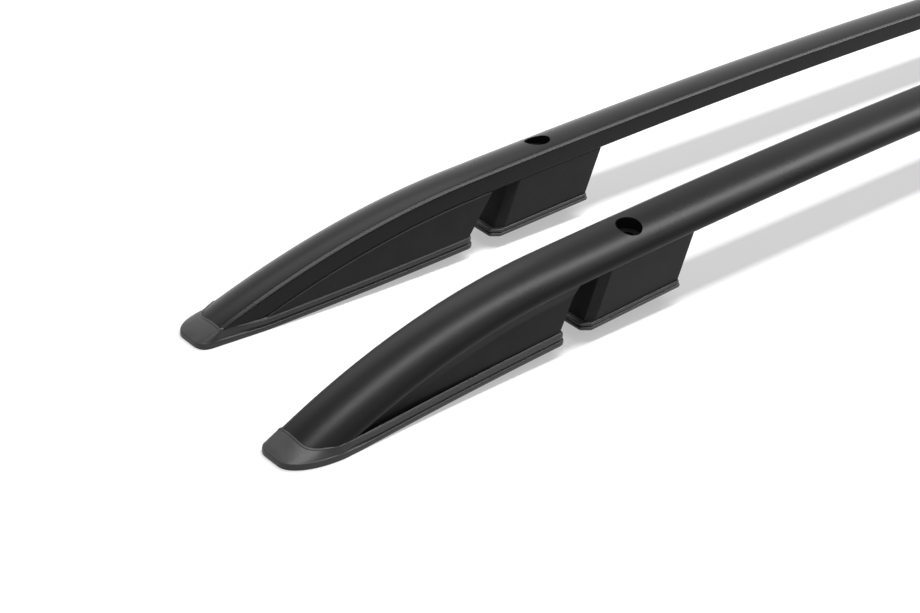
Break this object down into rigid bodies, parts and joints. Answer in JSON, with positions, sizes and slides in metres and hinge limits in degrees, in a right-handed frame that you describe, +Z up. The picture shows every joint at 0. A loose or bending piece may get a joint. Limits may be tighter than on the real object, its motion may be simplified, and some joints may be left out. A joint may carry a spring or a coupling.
{
  "type": "pair of roof rails",
  "caption": "Mirrored pair of raised roof rails: bowed hollow bars on moulded legs with rubber boots, each with a second gasketed foot behind a slanted gap.",
  "frame": {"origin": "centre of the pair on the ground under the toes of the boots", "axes": "+X along the rails, the front ends at -X; +Y to the left rail; +Z up"},
  "size_m": [1.554, 0.2188, 0.0847],
  "materials": {
    "bar_coat": "satin",
    "moulded_plastic": "matte",
    "boot_rubber": "matte",
    "gasket_rubber": "matte",
    "plated_steel": "satin",
    "insert_brass": "satin"
  },
  "bodies": {
    "root": {"left_bar": "bar_coat", "left_front_leg": "moulded_plastic", "left_rear_leg": "moulded_plastic", "left_front_boot": "boot_rubber", "left_rear_boot": "boot_rubber", "left_front_foot": "moulded_plastic", "left_rear_foot": "moulded_plastic", "left_front_gasket": "gasket_rubber", "left_rear_gasket": "gasket_rubber", "left_sleeves": "plated_steel", "left_inserts": "insert_brass", "right_bar": "bar_coat", "right_front_leg": "moulded_plastic", "right_rear_leg": "moulded_plastic", "right_front_boot": "boot_rubber", "right_rear_boot": "boot_rubber", "right_front_foot": "moulded_plastic", "right_rear_foot": "moulded_plastic", "right_front_gasket": "gasket_rubber", "right_rear_gasket": "gasket_rubber", "right_sleeves": "plated_steel", "right_inserts": "insert_brass"}
  },
  "joints": []
}
